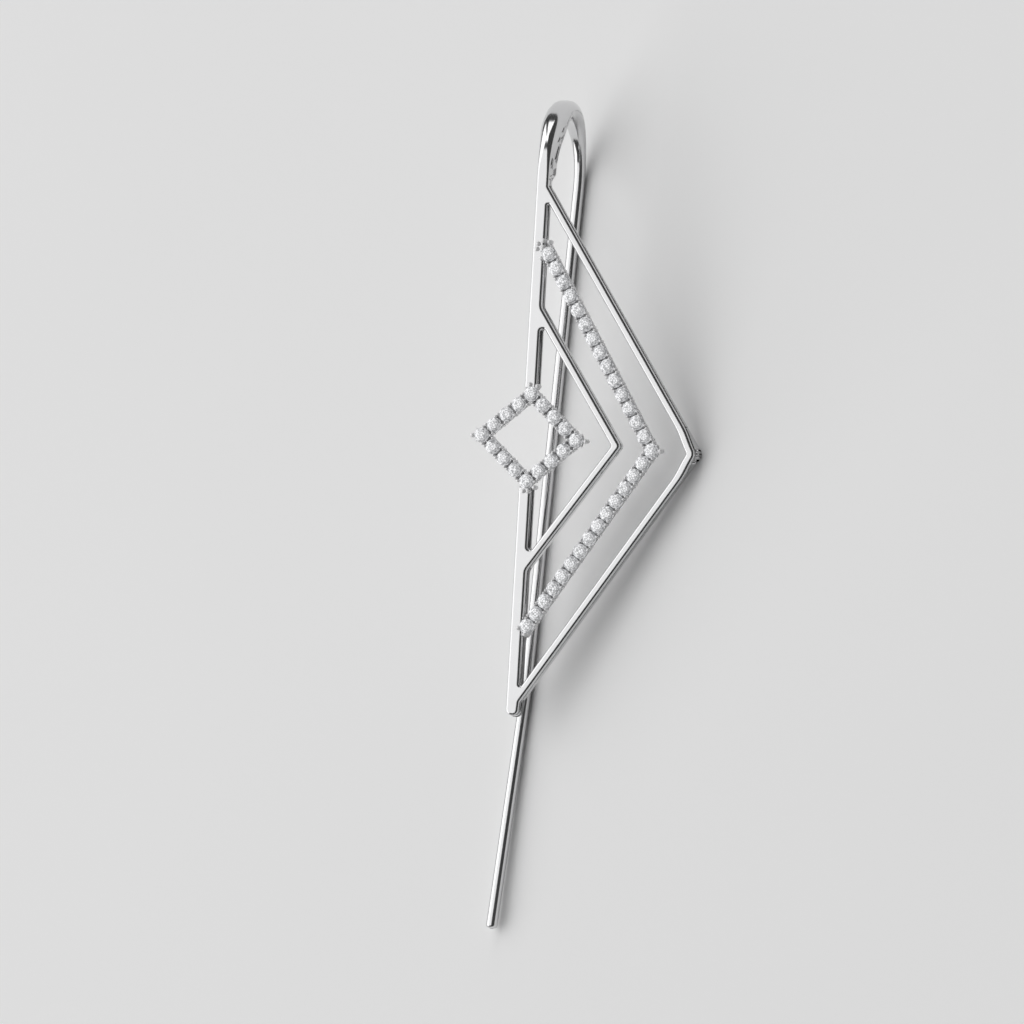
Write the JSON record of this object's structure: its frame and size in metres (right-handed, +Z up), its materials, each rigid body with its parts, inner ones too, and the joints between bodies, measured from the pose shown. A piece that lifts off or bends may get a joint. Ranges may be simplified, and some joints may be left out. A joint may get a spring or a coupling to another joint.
{
  "type": "ear cuff",
  "caption": "Openwork ear cuff in polished metal: nested plain and stone-set chevrons on a spine bar, a stone-set open rhombus, an ear hook at the top and a long back pin.",
  "frame": {"origin": "middle of the bounding box, on the table under the cuff as it lies", "axes": "+Y along the spine towards the ear hook, +Z up from the table, +X towards the chevrons' outer corner"},
  "size_m": [0.0196, 0.0728, 0.0121],
  "materials": {
    "polished_metal": "mirror polished white metal",
    "pave_stones": "clear cut stones in bright metal cups"
  },
  "bodies": {
    "root": {"cuff_frame": "polished_metal", "pave_chevron": "pave_stones", "pave_rhombus": "pave_stones"}
  },
  "joints": []
}
